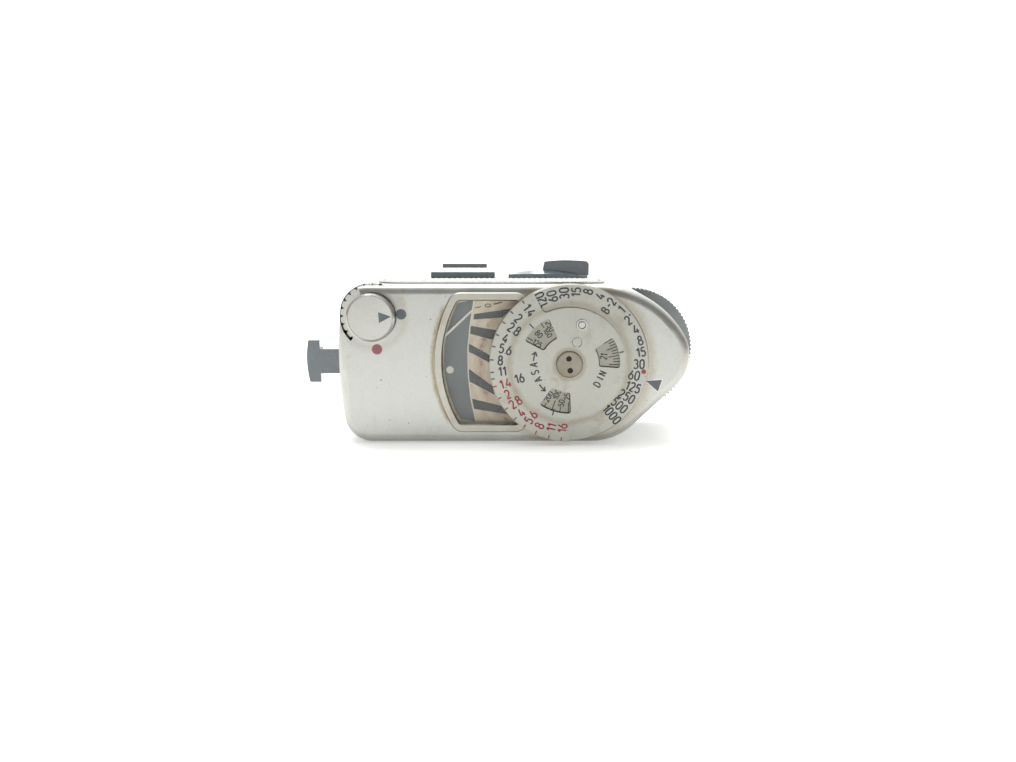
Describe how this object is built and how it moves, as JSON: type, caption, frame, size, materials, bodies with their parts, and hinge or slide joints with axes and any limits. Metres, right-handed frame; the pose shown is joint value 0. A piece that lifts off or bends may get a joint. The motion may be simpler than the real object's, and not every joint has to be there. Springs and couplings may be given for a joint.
{
  "type": "exposure meter",
  "caption": "Clip-on selenium exposure meter with needle scale, range knob, calculator dial, coupling disc and shoe foot.",
  "frame": {"origin": "middle of the whole meter in X and Y, on the long rear side that it stands on", "axes": "+X from the rail end to the rounded tip, -Y out of the dial face, +Z towards the light cell"},
  "size_m": [0.086, 0.024, 0.0376],
  "materials": {
    "satin_chrome": "satin chrome plating over brass, lightly worn and grimed",
    "dial_aluminium": "matt silver-anodised aluminium with engraved, filled figures",
    "bright_steel": "bright turned steel",
    "black_paint": "black enamel, satin",
    "black_plastic": "moulded black plastic, semi-gloss",
    "bezel_metal": "pale anodised frame, satin",
    "clear_glass": "flat clear glass",
    "cell_glass": "pressed honeycomb glass",
    "scale_paper": "matt printed scale, cream with dark bands",
    "selenium": "dark grey selenium coating on steel",
    "brass": "turned brass",
    "magnet_steel": "ground magnet alloy",
    "copper_coil": "enamelled copper winding",
    "insulator": "brown laminated board",
    "needle_paint": "white painted aluminium",
    "spring_bronze": "phosphor bronze"
  },
  "bodies": {
    "housing": {"top_housing": "satin_chrome", "window_bezel": "bezel_metal", "window_glass": "clear_glass", "scale_plate": "scale_paper", "cell_lens": "cell_glass", "cell_frame": "satin_chrome", "selenium_cell": "selenium", "cell_contact_left": "spring_bronze", "cell_contact_right": "spring_bronze", "yoke": "magnet_steel", "magnet_core": "magnet_steel", "pillar_upper": "brass", "pillar_lower": "brass", "front_bridge": "brass", "back_bridge": "brass", "switch_bracket": "insulator", "switch_stud_high": "brass", "switch_stud_low": "brass", "dial_bushing": "brass", "idler_stud": "bright_steel", "key_spring": "bright_steel", "guard_plate": "black_paint", "base_plate": "black_paint", "base_screw_1": "bright_steel", "base_screw_2": "bright_steel", "base_screw_3": "bright_steel", "base_screw_4": "bright_steel", "booster_rail": "black_paint", "shoe_foot": "satin_chrome", "foot_screw_1": "bright_steel", "foot_screw_2": "bright_steel", "foot_screw_3": "bright_steel", "foot_screw_4": "bright_steel", "foot_spring_left": "bright_steel", "foot_spring_right": "bright_steel"},
    "movement": {"moving_coil": "copper_coil", "needle": "needle_paint", "hairspring": "spring_bronze"},
    "knob": {"range_knob": "dial_aluminium", "switch_wiper": "spring_bronze"},
    "dial": {"dial_shaft": "bright_steel", "dial_gear": "brass", "shutter_ring": "dial_aluminium", "film_speed_disc": "dial_aluminium", "hub_screw": "bright_steel"},
    "plate": {"aperture_plate": "dial_aluminium"},
    "lock": {"lock_pin": "bright_steel"},
    "idler": {"idler_gear": "brass"},
    "coupling": {"coupling_disc": "dial_aluminium", "coupling_gear": "brass", "coupling_shaft": "bright_steel", "coupling_pin": "bright_steel", "coupling_screw": "bright_steel"},
    "key": {"release_key": "black_plastic"},
    "slide": {"slide_plate": "bright_steel", "slide_tab": "black_plastic"}
  },
  "joints": [
    {"name": "dial_turn", "type": "hinge", "parent": "housing", "child": "dial", "pos_m": [0.01362, -0.00948, 0.01735], "axis": [0, -1, 0], "range_deg": [-128, 36]},
    {"name": "coupling_turn", "type": "hinge", "parent": "housing", "child": "coupling", "pos_m": [0.02901, 0.00553, 0.0172], "axis": [0, -1, 0], "range_deg": [-128, 36]},
    {"name": "idler_turn", "type": "hinge", "parent": "housing", "child": "idler", "pos_m": [0.02132, 0.00052, 0.01727], "axis": [0, -1, 0], "range_deg": [-72, 256]},
    {"name": "film_speed_setting", "type": "hinge", "parent": "dial", "child": "plate", "pos_m": [0.01362, -0.01148, 0.01735], "axis": [0, -1, 0], "range_deg": [-36, 36]},
    {"name": "lock_press", "type": "slide", "parent": "plate", "child": "lock", "axis": [0, 1, 0], "range_m": [0, 0.00025], "stiffness_N_per_m": 60},
    {"name": "needle_swing", "type": "hinge", "parent": "housing", "child": "movement", "pos_m": [-0.02083, -0.00948, 0.0144], "axis": [0, -1, 0], "range_deg": [-80, 0], "stiffness_Nm_per_rad": 0.00001},
    {"name": "range_turn", "type": "hinge", "parent": "housing", "child": "knob", "pos_m": [-0.02669, -0.00948, 0.02688], "axis": [0, -1, 0], "range_deg": [-90, 0]},
    {"name": "key_press", "type": "slide", "parent": "housing", "child": "key", "axis": [0, 0, -1], "range_m": [0, 0.001], "stiffness_N_per_m": 300, "springref_m": -0.0005, "deforming": ["key_spring"]},
    {"name": "tab_slide", "type": "slide", "parent": "housing", "child": "slide", "axis": [1, 0, 0], "range_m": [0, 0.004]}
  ],
  "couplings": [
    {"joint": "coupling_turn", "follows": "dial_turn", "ratio": 1},
    {"joint": "idler_turn", "follows": "dial_turn", "ratio": -2}
  ]
}
